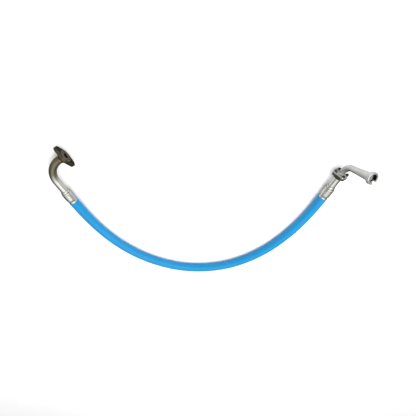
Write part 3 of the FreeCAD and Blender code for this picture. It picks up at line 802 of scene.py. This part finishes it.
def plate_mesh(name, outline, holes, bottom, top, edge):
    """A flat plate between two heights, with rounded edges round its outline and its holes. Millimetres."""
    data = bpy.data.curves.new(name, "CURVE")
    data.dimensions = "2D"
    data.fill_mode = "BOTH"
    for loop in [outline, *holes]:
        spline = data.splines.new("POLY")
        spline.points.add(len(loop) - 1)
        for point, (x, y) in zip(spline.points, loop):
            point.co = (x * MM, y * MM, 0, 1)
        spline.use_cyclic_u = True
    data.extrude = ((top - bottom) / 2 - edge) * MM
    data.bevel_depth = edge * MM
    data.bevel_resolution = 3
    data.offset = -edge * MM
    holder = bpy.data.objects.new(name, data)
    bpy.context.scene.collection.objects.link(holder)
    mesh = evaluated_mesh(holder)
    bpy.data.objects.remove(holder)
    work = bmesh.new()
    work.from_mesh(mesh)
    bmesh.ops.remove_doubles(work, verts=work.verts, dist=1e-6)
    bmesh.ops.recalc_face_normals(work, faces=work.faces)
    work.to_mesh(mesh)
    work.free()
    mesh.transform(Matrix.Translation((0, 0, (top + bottom) / 2 * MM)))
    return mesh


def arc_points(x, y, radius, start, end, count):
    """Points on an arc, its angles in degrees."""
    angles = [math.radians(start + (end - start) * i / count) for i in range(count + 1)]
    return [(x + radius * math.cos(a), y + radius * math.sin(a)) for a in angles]


def hole_points(x, y, radius, count=48):
    return arc_points(x, y, radius, 0, 360, count)[:-1]


def square_points(side, corner):
    """A square outline with round corners."""
    inner = side / 2 - corner
    corners = [(inner, inner, 0), (-inner, inner, 90), (-inner, -inner, 180), (inner, -inner, 270)]
    return [p for x, y, start in corners for p in arc_points(x, y, corner, start, start + 90, 10)]


# ---------------------------------------------------------------- the hose


def route_line():
    """Points along the route's smooth curve, from one end of the hose to the other."""
    data = bpy.data.curves.new("hose_route", "CURVE")
    data.dimensions = "3D"
    spline = data.splines.new("NURBS")
    spline.points.add(len(ROUTE) - 1)
    for point, place in zip(spline.points, ROUTE):
        point.co = (*place, 1)
    spline.order_u = 3
    spline.use_endpoint_u = True
    spline.resolution_u = 36
    holder = bpy.data.objects.new("hose_route", data)
    bpy.context.scene.collection.objects.link(holder)
    mesh = evaluated_mesh(holder)
    line = [v.co.copy() for v in mesh.vertices]
    bpy.data.objects.remove(holder)
    bpy.data.meshes.remove(mesh)
    return line


def between_mouths(line):
    """The stretch of the line outside both ferrules, cut exactly at their mouths."""

    def outside(point):
        return (point - LEFT_MOUTH).dot(LEFT_AXIS) < 0 and (point - RIGHT_MOUTH).dot(RIGHT_AXIS) < 0

    inner = [i for i, point in enumerate(line) if outside(point)]
    first, last = inner[0], inner[-1]
    return [
        on_plane(line[first - 1], line[first], LEFT_MOUTH, LEFT_AXIS),
        *line[first : last + 1],
        on_plane(line[last + 1], line[last], RIGHT_MOUTH, RIGHT_AXIS),
    ]


def on_plane(start, end, origin, axis):
    """The point of a short run that lies on a plane."""
    share = (origin - start).dot(axis) / (end - start).dot(axis)
    return start.lerp(end, share)


def flexes(piece):
    """Bakes a hose layer's placing into its mesh."""
    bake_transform(piece)


def cover_radii(lengths, segments):
    """The cover's outer radius at each loop and segment.

    It has a low spiral step where each turn of the curing tape overlapped the last, and a bulge at each end.
    """
    _, _, angles = circle_of(segments)
    total = lengths[-1]
    radii = []
    for length in lengths:
        from_end = min(length, total - length) / MM
        bulge = 0.22 * math.exp(-(((from_end - 3.2) / 2.6) ** 2)) - 0.55 * math.exp(-((from_end / 1.0) ** 2))
        phase = (length / WRAP_PITCH + angles / (2 * math.pi)) % 1.0
        step = 0.07 * (phase - 0.5) * np.clip((1 - phase) / 0.06, 0, 1)
        radii.append(HOSE_RADIUS + bulge + min(1.0, from_end / 15) * step - 0.03)
    return radii


def layer_mesh(name, points, outer, inner, segments):
    """A layer of the hose as a closed tube wall."""
    lengths = lengths_along(points)
    tangents = tangents_along(points)
    outer_rings = bent_rings(points, tangents, UP, outer, segments)
    inner_rings = bent_rings(points, tangents, UP, [inner] * len(points), segments)
    return tube_mesh(name, outer_rings + inner_rings[::-1], [*lengths, *lengths[::-1]])


def make_hose():
    line = route_line()
    open_line = between_mouths(line)
    segments = 72
    radii = cover_radii(lengths_along(open_line), segments)
    cover_mesh = layer_mesh("hose_cover", open_line, radii, OUTER_BRAID_RADIUS, segments)
    cover = new_piece("hose_cover", cover_mesh, Matrix.Identity(4), blue_rubber())
    flexes(cover)
    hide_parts("hose_cover_left", "hose_cover_right")
    coarse = [*line[:-1:3], line[-1]]
    liner = dark_rubber("liner_rubber", (0.012, 0.012, 0.012), LINER_RADIUS)
    rubber = dark_rubber("separator_rubber", (0.018, 0.017, 0.016), SEPARATOR_RADIUS)
    inner_braid = braided_wire(INNER_BRAID_RADIUS, 18)
    outer_braid = braided_wire(OUTER_BRAID_RADIUS, 20)
    layers = [
        ("hose_liner", HOSE_BORE, LINER_RADIUS, liner, "liner_rubber", "hose_liner"),
        ("hose_inner_braid", LINER_RADIUS, INNER_BRAID_RADIUS, inner_braid, "braid_wire", "inner_braid"),
        ("hose_separator", INNER_BRAID_RADIUS, SEPARATOR_RADIUS, rubber, "liner_rubber", "braid_separator"),
        ("hose_outer_braid", SEPARATOR_RADIUS, OUTER_BRAID_RADIUS, outer_braid, "braid_wire", "outer_braid"),
    ]
    for name, inner, outer, material, slot, node in layers:
        mesh = layer_mesh(name, coarse, [outer] * len(coarse), inner, 48)
        piece = new_piece(name, mesh, Matrix.Identity(4), material)
        flexes(piece)
        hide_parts(f"{node}_left", f"{node}_right")


# ---------------------------------------------------------------- crimped ends

DIES = 8


def ease(value, low, high):
    share = min(1.0, max(0.0, (value - low) / (high - low)))
    return share * share * (3 - 2 * share)


def ferrule_mesh(name, turn):
    """A ferrule pressed by eight dies: flats with thin raised lines between, and a plain band at its back."""
    segments = 192
    _, _, angles = circle_of(segments)
    phase = ((angles + turn) * DIES / (2 * math.pi)) % 1.0
    from_line = np.minimum(phase, 1 - phase)
    lines = np.exp(-((from_line / 0.045) ** 2))
    within = (phase - 0.5) * 2 * math.pi / DIES
    flats = 1 - math.cos(math.pi / DIES) / np.cos(within)
    flats = flats / flats.max()
    profile = []
    back_edge = [FERRULE_LENGTH - below for below in (1.2, 0.8, 0.45, 0.2, 0.05, 0.0)]
    for height in [0.0, 0.15, 0.45, 0.9, *np.linspace(1.6, 36.2, 62), *back_edge]:
        body = 13.2 + 1.6 * ease(height, 4.5, 13.5)
        mouth = 0.55 * (1 - math.sqrt(max(0.0, 1 - (1 - min(1.0, height / 0.9)) ** 2)))
        back = 1.1 * (1 - math.sqrt(max(0.0, 1 - (1 - min(1.0, (FERRULE_LENGTH - height) / 1.2)) ** 2)))
        pressed = ease(height, 1.8, 4.2) * (1 - ease(height, 31.5, 33.5))
        profile.append((body - mouth - back - pressed * (0.30 + 0.24 * flats - 0.16 * lines), height))
    lip = 32.0
    corners = [
        (13.6, FERRULE_LENGTH, 0),
        (GROOVE_RADIUS, FERRULE_LENGTH),
        (GROOVE_RADIUS, lip),
        (OUTER_BRAID_RADIUS, lip),
        (OUTER_BRAID_RADIUS, 0.0, 0),
    ]
    inner = rounded(corners, 0.3, closed=False)
    profile += [(np.full(segments, r), z) for r, z in inner[1:]]
    return spun(name, profile, segments)


def nipple_mesh(name):
    """The barbed stem in the bore and the collar outside, as one piece."""
    foot = 3.0
    pitch = 5
    corners = [(NIPPLE_BORE, foot)]
    for i in range(5):
        corners += [(HOSE_BORE - 0.5, foot + pitch * i, 0.1), (HOSE_BORE, foot + pitch * (i + 1), 0.15)]
    end = FERRULE_LENGTH + COLLAR_LENGTH
    corners += [
        (HOSE_BORE, INSERTION, 0.2),
        (GROOVE_RADIUS, INSERTION, 0.2),
        (GROOVE_RADIUS, FERRULE_LENGTH, 0.1),
        (OUTER_BRAID_RADIUS, FERRULE_LENGTH, 0.5),
        (OUTER_BRAID_RADIUS, end, 1.1),
        (TUBE_RADIUS, end, 0.25),
        (TUBE_RADIUS, TUBE_START, 0.1),
        (NIPPLE_BORE, TUBE_START, 0.3),
    ]
    return spun(name, rounded(corners, 0.2), 96)


def make_crimped_end(side, mouth, axis, turn):
    place = station(mouth, axis, level(axis))
    body = f"{side}_end"
    name = f"crimped_ferrule_{side}"
    shell = zinc_shell(side, axis)
    fitted(name, ferrule_mesh(name, turn), place, shell, body, f"{side}_ferrule")
    name = f"barbed_nipple_{side}"
    steel = bright_steel(side, axis)
    fitted(name, nipple_mesh(name), place, steel, body, f"{side}_nipple")


# ---------------------------------------------------------------- left end: bent tube and two-hole flange


def path_with_bend(start, corner, end, radius, axis_in, axis_out, hinge, turn):
    """Points and tangents along a straight leg, one bend and a second straight leg."""
    reach = radius * MM * math.tan(math.radians(turn) / 2)
    bend_in = corner - axis_in * reach
    bend_out = corner + axis_out * reach
    centre = bend_in + hinge.cross(axis_in) * radius * MM
    points = [start.lerp(bend_in, i / 12) for i in range(12)]
    tangents = [axis_in] * 12
    steps = 40
    for i in range(steps + 1):
        angle = turn * i / steps
        points.append(centre + turned(bend_in - centre, hinge, angle))
        tangents.append(turned(axis_in, hinge, angle))
    points += [bend_out.lerp(end, i / 8) for i in range(1, 9)]
    tangents += [axis_out] * 8
    return points, tangents


def make_bent_tube():
    start = LEFT_MOUTH + LEFT_AXIS * TUBE_START * MM
    end = FLANGE_FACE - FLANGE_AXIS * 5 * MM
    hinge = LEFT_AXIS.cross(FLANGE_AXIS).normalized()
    turn = math.degrees(LEFT_AXIS.angle(FLANGE_AXIS))
    axes = (LEFT_AXIS, FLANGE_AXIS)
    points, tangents = path_with_bend(start, TUBE_CORNER, end, TUBE_BEND_RADIUS, *axes, hinge, turn)
    segments = 72
    cosine, sine, _ = circle_of(segments)
    lengths = lengths_along(points)
    radii = []
    for length in lengths:
        share = length / lengths[-1]
        oval = 0.10 * math.sin(math.pi * min(1.0, max(0.0, (share - 0.25) / 0.6))) ** 2
        radii.append(TUBE_RADIUS - oval * cosine**2 + 0.5 * oval * sine**2)
    outer = bent_rings(points, tangents, hinge, radii, segments)
    inner = bent_rings(points, tangents, hinge, [TUBE_BORE] * len(points), segments)
    name = "bent_steel_tube"
    mesh = tube_mesh(name, outer + inner[::-1], [*lengths, *lengths[::-1]])
    fitted(name, mesh, Matrix.Identity(4), tube_steel(), "left_end", "bent_tube")


def rhombus_points():
    """Two end lobes and two waist arcs, joined by their common tangents."""
    lobe, waist, reach = 9.5, 20.0, BOLT_REACH
    slope = math.degrees(math.acos((waist - lobe) / reach))
    return [
        *arc_points(reach, 0, lobe, -slope, slope, 22),
        *arc_points(0, 0, waist, slope, 180 - slope, 14),
        *arc_points(-reach, 0, lobe, 180 - slope, 180 + slope, 22),
        *arc_points(0, 0, waist, 180 + slope, 360 - slope, 14),
    ]


def make_mounting_flange(material):
    holes = [hole_points(x, 0, BOLT_HOLE_RADIUS) for x in (BOLT_REACH, -BOLT_REACH)]
    holes.append(hole_points(0, 0, 15.0, 96))
    plate = plate_mesh("flange_plate", rhombus_points(), holes, -9.8, -0.8, 0.8)
    core = rounded(
        [
            (TUBE_BORE, 0.0, 0.5),
            (10.6, 0.0, 0.15),
            (10.6, -2.0, 0.2),
            (13.8, -2.0, 0.2),
            (13.8, 0.0, 0.15),
            (16.5, 0.0, 0.4),
            (16.5, -9.0, 0),
            (18.6, -9.4, 0),
            (18.4, -9.85, 0.6),
            (16.0, -10.4, 1.6),
            (12.6, HUB_END, 0.5),
            (TUBE_RADIUS, HUB_END, 0.1),
            (TUBE_RADIUS, -5.0, 0.1),
            (TUBE_BORE, -5.0, 0.2),
        ],
        0.3,
    )
    mesh = combined(plate, spun("flange_core", core, 96), "UNION")
    name = mesh.name = "two_hole_flange"
    fitted(name, smooth(mesh), FLANGE_STATION, material, "left_end", "mounting_flange")


def make_weld():
    """A convex fillet bead laid round the hub's end in overlapping ripples, uneven as hand work is."""
    segments = 240
    _, _, angles = circle_of(segments)
    ripple = np.abs(np.sin(angles * 17)) ** 0.7
    uneven = 0.16 * np.sin(3 * angles + 0.7) + 0.10 * np.sin(7 * angles + 2.1)
    profile = []
    steps = 14
    for i in range(steps + 1):
        share = i / steps
        swell = math.sin(math.pi * share)
        skew = np.abs(np.sin((angles + 0.05 * swell) * 17)) ** 0.7
        radius = 10.45 + 2.25 * share + swell * (0.75 + 0.22 * skew + uneven)
        height = HUB_END - 3.1 + 3.3 * share - swell * (0.55 + 0.1 * ripple + uneven)
        profile.append((radius, height))
    # The heights vary round the bead, so its loops are made here and not by spun.
    cosine, sine, _ = circle_of(segments)
    rings = [np.stack([r * cosine, r * sine, z * np.ones(segments)], -1) * MM for r, z in profile]
    root = np.full(segments, 10.2)
    rings.append(np.stack([root * cosine, root * sine, np.full(segments, HUB_END + 0.4)], -1) * MM)
    rings.append(np.stack([root * cosine, root * sine, np.full(segments, HUB_END - 3.1)], -1) * MM)
    mesh = tube_mesh("weld_bead", rings, np.linspace(0, 0.01, len(rings)))
    fitted("weld_bead", mesh, FLANGE_STATION, weld_steel(), "left_end", "flange_weld")


def seal_mesh(name, radius, height, section):
    """A round seal ring with the fine flash lines of its mould."""
    count = 32
    profile = []
    for i in range(count):
        angle = 2 * math.pi * i / count
        reach = section + (0.03 if i in (0, count // 2) else 0.0)
        profile.append((radius + reach * math.cos(angle), height + reach * math.sin(angle)))
    return spun(name, profile, 128)


def make_seal(name, node, radius, height, section, place, body, material):
    fitted(name, seal_mesh(name, radius, height, section), place, material, body, node)


# ---------------------------------------------------------------- right end: stub tube, flanged joint, elbow


def make_stub_tube(material):
    collar_end = STUB_LENGTH - JOINT_GAP
    collar_start = collar_end - COLLAR_THICKNESS
    corners = [
        (TUBE_BORE, TUBE_START),
        (TUBE_RADIUS, TUBE_START),
        (TUBE_RADIUS, collar_start, 0.5),
        (STUB_COLLAR_RADIUS, collar_start, 0.4),
        (STUB_COLLAR_RADIUS, collar_end, 0.4),
        (TUBE_BORE, collar_end, 0.3),
    ]
    mesh = spun("stub_pipe", rounded(corners, 0.2), 96)
    place = station(RIGHT_MOUTH, RIGHT_AXIS, level(RIGHT_AXIS))
    fitted("stub_pipe", mesh, place, material, "right_end", "stub_tube")


def screw_places():
    return [(a * SCREW_OFFSET, b * SCREW_OFFSET) for a in (1, -1) for b in (1, -1)]


def make_loose_flange(material):
    bore = TUBE_RADIUS + CLEARANCE
    holes = [hole_points(x, y, SHANK_RADIUS, 36) for x, y in screw_places()]
    holes.append(hole_points(0, 0, bore, 96))
    outline = square_points(SQUARE_SIDE, SQUARE_CORNER)
    plate = plate_mesh("loose_plate", outline, holes, -LOOSE_THICKNESS, 0.0, 0.6)
    seat = -COLLAR_THICKNESS - 2 * JOINT_GAP
    wall = STUB_COLLAR_RADIUS + CLEARANCE
    inside = bore - 1.58
    recess = spun("recess", [(inside, seat), (wall, seat), (wall, 1.0), (inside, 1.0)], 96)
    boss = rounded(
        [
            (bore, seat - 1.0, 0),
            (bore, BOSS_END, 0.3),
            (14.6, BOSS_END, 0.6),
            (15.8, -LOOSE_THICKNESS, 0.2),
            (15.8, seat - 1.0, 0),
        ],
        0.3,
    )
    mesh = combined(combined(plate, spun("boss", boss, 96), "UNION"), recess, "DIFFERENCE")
    name = mesh.name = "square_loose_flange"
    fitted(name, smooth(mesh), JOINT_STATION, material, "elbow", "loose_flange")


def elbow_path():
    """Points, tangents and lengths along the elbow's middle, from the joint's face to the rim's face."""
    points, tangents = [], []
    for i in range(9):
        points.append(JOINT.lerp(BEND_START, i / 8))
        tangents.append(RIGHT_AXIS)
    steps = 36
    for i in range(1, steps + 1):
        angle = ELBOW_TURN * i / steps
        points.append(BEND_CENTRE + turned(BEND_START - BEND_CENTRE, ELBOW_HINGE, angle))
        tangents.append(turned(RIGHT_AXIS, ELBOW_HINGE, angle))
    steps = 142
    for i in range(1, steps + 1):
        points.append(BEND_END.lerp(RIM_FACE, i / steps))
        tangents.append(LEG_AXIS)
    return points, tangents


def elbow_outer_radius(length, total):
    """The elbow's outer radius in mm at a length along it: root fillet, neck, leg, shoulder and rim."""
    bend_end = ELBOW_START + math.radians(ELBOW_TURN) * ELBOW_RADIUS
    from_face = total - length
    up_root = min(1.0, max(0.0, length - ELBOW_PLATE + 0.2) / 3.6)
    root = ROOT_FLARE * (1 - math.sqrt(max(0.0, 1 - (1 - up_root) ** 2)))
    leg_share = min(1.0, max(0.0, (length - bend_end) / (total - RIM_LENGTH - bend_end)))
    body = ELBOW_NECK + LEG_GROWTH * leg_share + root
    rim = ease(from_face, 12.6, 9.3)
    face_edge = 0.7 * (1 - math.sqrt(max(0.0, 1 - (1 - min(1.0, from_face / 0.7)) ** 2)))
    return body + (RIM_RADIUS - body) * rim - face_edge


def make_elbow(material):
    points, tangents = elbow_path()
    lengths = lengths_along(points) / MM
    total = lengths[-1]
    segments = 96
    radii = [elbow_outer_radius(length, total) for length in lengths]
    outer = bent_rings(points, tangents, ELBOW_HINGE, radii, segments)
    in_socket = [total - length < ELBOW_SOCKET_DEPTH for length in lengths]
    radii = [ELBOW_SOCKET_RADIUS if wide else ELBOW_BORE for wide in in_socket]
    inner = bent_rings(points, tangents, ELBOW_HINGE, radii, segments)
    body = tube_mesh("elbow_body", outer + inner[::-1], [0.0] * (2 * len(points)))
    notch = box_mesh("notch", (0.0, -NOTCH_WIDTH / 2, -NOTCH_DEPTH), (40.0, NOTCH_WIDTH / 2, 4.0))
    notch.transform(RIM_STATION)
    body = combined(body, notch, "DIFFERENCE")
    holes = [hole_points(x, y, SHANK_RADIUS + 0.3, 36) for x, y in screw_places()]
    holes.append(hole_points(0, 0, ELBOW_NECK - 0.8, 96))
    outline = square_points(SQUARE_SIDE, SQUARE_CORNER)
    plate = plate_mesh("elbow_plate", outline, holes, 0.0, ELBOW_PLATE, 0.6)
    channel = spun("channel", [(9.8, -1.0), (12.0, -1.0), (12.0, 2.0), (9.8, 2.0)], 96)
    plate = combined(plate, channel, "DIFFERENCE")
    plate.transform(JOINT_STATION)
    mesh = changed(merged("cast_elbow", [body, plate]), "REMESH", mode="VOXEL", voxel_size=0.5 * MM)
    mesh = changed(mesh, "SMOOTH", factor=0.5, iterations=3)
    add_parting_line(mesh)
    mesh.transform(RIM_STATION.inverted())
    name = mesh.name = "cast_elbow"
    mesh.shade_smooth()
    fitted(name, mesh, RIM_STATION, material, "elbow", "elbow_casting")


def box_mesh(name, low, high):
    work = bmesh.new()
    bmesh.ops.create_cube(work, size=1.0)
    size = [(b - a) * MM for a, b in zip(low, high)]
    middle = [(a + b) / 2 * MM for a, b in zip(low, high)]
    matrix = Matrix.Translation(middle) @ Matrix.Diagonal((*size, 1))
    bmesh.ops.transform(work, matrix=matrix, verts=work.verts)
    made = bpy.data.meshes.new(name)
    work.to_mesh(made)
    work.free()
    return made


def add_parting_line(mesh):
    """Raises the low seam that the mould's halves leave round the casting's outside, and an uneven skin."""
    count = len(mesh.vertices)
    points = np.zeros(count * 3)
    normals = np.zeros(count * 3)
    mesh.vertices.foreach_get("co", points)
    mesh.vertices.foreach_get("normal", normals)
    points, normals = points.reshape(-1, 3), normals.reshape(-1, 3)
    offset = (points - np.array(BEND_CENTRE)) @ np.array(ELBOW_HINGE) / MM
    along = (points - np.array(RIM_FACE)) @ np.array(LEG_AXIS) / MM
    past_flange = (points - np.array(JOINT)) @ np.array(RIGHT_AXIS) / MM
    off_plane = np.abs(normals @ np.array(ELBOW_HINGE)) < 0.3
    on_seam = (past_flange > 10.0) & (along < -RIM_LENGTH) & off_plane
    seam = 0.16 * np.exp(-((offset / 0.55) ** 2)) * on_seam
    uneven = 0.035 * np.array([noise.noise(Vector(p) * 420) for p in points])
    points = points + normals * ((seam + uneven) * MM)[:, None]
    mesh.vertices.foreach_set("co", points.ravel())
    mesh.update()


def screw_mesh():
    """A low socket-head cap screw: knurled head, hexagon socket and plain shank, its seat at height 0."""
    segments = 144
    _, _, angles = circle_of(segments)
    knurl = 0.08 * np.abs(np.sin(angles * 18))
    within = (angles + math.pi / 6) % (math.pi / 3) - math.pi / 6
    hexagon = 1.5 / np.cos(within)
    full = np.full(segments, 1.0)
    profile = [
        (full * 0.02, 1.5),
        (full * 0.7, 1.45),
        (hexagon * 0.97, 1.4),
        (hexagon, 1.5),
        (hexagon, 2.95),
        (hexagon * 1.08, HEAD_HEIGHT),
        (full * 3.0, HEAD_HEIGHT),
        (full * 3.65, 3.19),
        (full * 3.95, 3.1),
        (full * 4.12, 2.92),
        (full * 4.18, 2.65),
        (HEAD_RADIUS - knurl, 2.45),
        (HEAD_RADIUS - knurl, 0.4),
        (full * 4.15, 0.15),
        (full * 4.05, 0.0),
        (full * SHANK_RADIUS, 0.0),
        (full * SHANK_RADIUS, 0.4 - SHANK_LENGTH),
        (full * (SHANK_RADIUS - 0.4), -SHANK_LENGTH),
        (full * 0.02, -SHANK_LENGTH),
    ]
    return spun("screw", profile, segments)


def washer_mesh():
    """A split spring washer, flat under load, with a slanting split."""
    loops = 72
    start, end = math.radians(5.5), math.radians(354.5)
    section = rounded([(2.85, 0.02), (4.4, 0.02), (4.4, 0.98), (2.85, 0.98)], 0.15, 3)
    rings = []
    for i in range(loops + 1):
        ring = []
        for radius, height in section:
            slant = math.radians(5.0) * (height / WASHER_THICKNESS - 0.5)
            angle = start + (end - start) * i / loops + slant
            ring.append((radius * math.cos(angle) * MM, radius * math.sin(angle) * MM, height * MM))
        rings.append(ring)
    count = len(section)
    vertices = [p for ring in rings for p in ring]
    faces = []
    for start_of in range(0, loops * count, count):
        for j in range(count):
            beside = (j + 1) % count
            faces.append((start_of + j, start_of + beside, start_of + count + beside, start_of + count + j))
    faces += [tuple(range(count)), tuple(range(loops * count, (loops + 1) * count))]
    mesh = bpy.data.meshes.new("washer")
    mesh.from_pydata(vertices, [], faces)
    face_outwards(mesh)
    return mesh


def four_of(name, mesh, height, turns):
    """Four copies of a fastener, each at its screw place and turned its own way, in the joint's frame."""
    copies = []
    for (x, y), turn in zip(screw_places(), turns):
        copy = mesh.copy()
        place = Matrix.Translation((x * MM, y * MM, height * MM))
        copy.transform(place @ Matrix.Rotation(math.radians(turn), 4, "Z"))
        copies.append(copy)
    return smooth(merged(name, copies))


def make_fasteners(material):
    name = "cap_screws"
    screws = four_of(name, screw_mesh(), ELBOW_PLATE + WASHER_THICKNESS, (12, 41, 27, 5))
    fitted(name, screws, JOINT_STATION, material, "elbow", "flange_screws")
    name = "split_washers"
    washers = four_of(name, washer_mesh(), ELBOW_PLATE, (40, 160, 250, 310))
    fitted(name, washers, JOINT_STATION, material, "elbow", "spring_washers")


# ---------------------------------------------------------------- build


def build():
    make_camera()
    make_studio()
    make_hose()
    make_crimped_end("left", LEFT_MOUTH, LEFT_AXIS, 0.15)
    make_crimped_end("right", RIGHT_MOUTH, RIGHT_AXIS, 0.32)
    make_bent_tube()
    bare, face = (0.24, 0.22, 0.17), -0.0002
    make_mounting_flange(scaled_steel("browned_forging", FLANGE_AXIS, (0.035, 0.031, 0.021), bare, face))
    make_weld()
    seal = dark_rubber("seal_rubber", (0.012, 0.012, 0.013))
    make_seal("face_seal", "face_seal_ring", 12.2, -0.7, 1.3, FLANGE_STATION, "left_end", seal)
    make_stub_tube(bright_steel("stub", RIGHT_AXIS))
    bare = (0.22, 0.20, 0.16)
    make_loose_flange(scaled_steel("dark_flange_steel", RIGHT_AXIS, (0.040, 0.036, 0.024), bare, NO_FACE))
    make_elbow(cast_metal())
    make_seal("joint_seal", "joint_seal_ring", 10.9, 0.9, 1.1, JOINT_STATION, "elbow", seal)
    make_fasteners(black_oxide())


build()
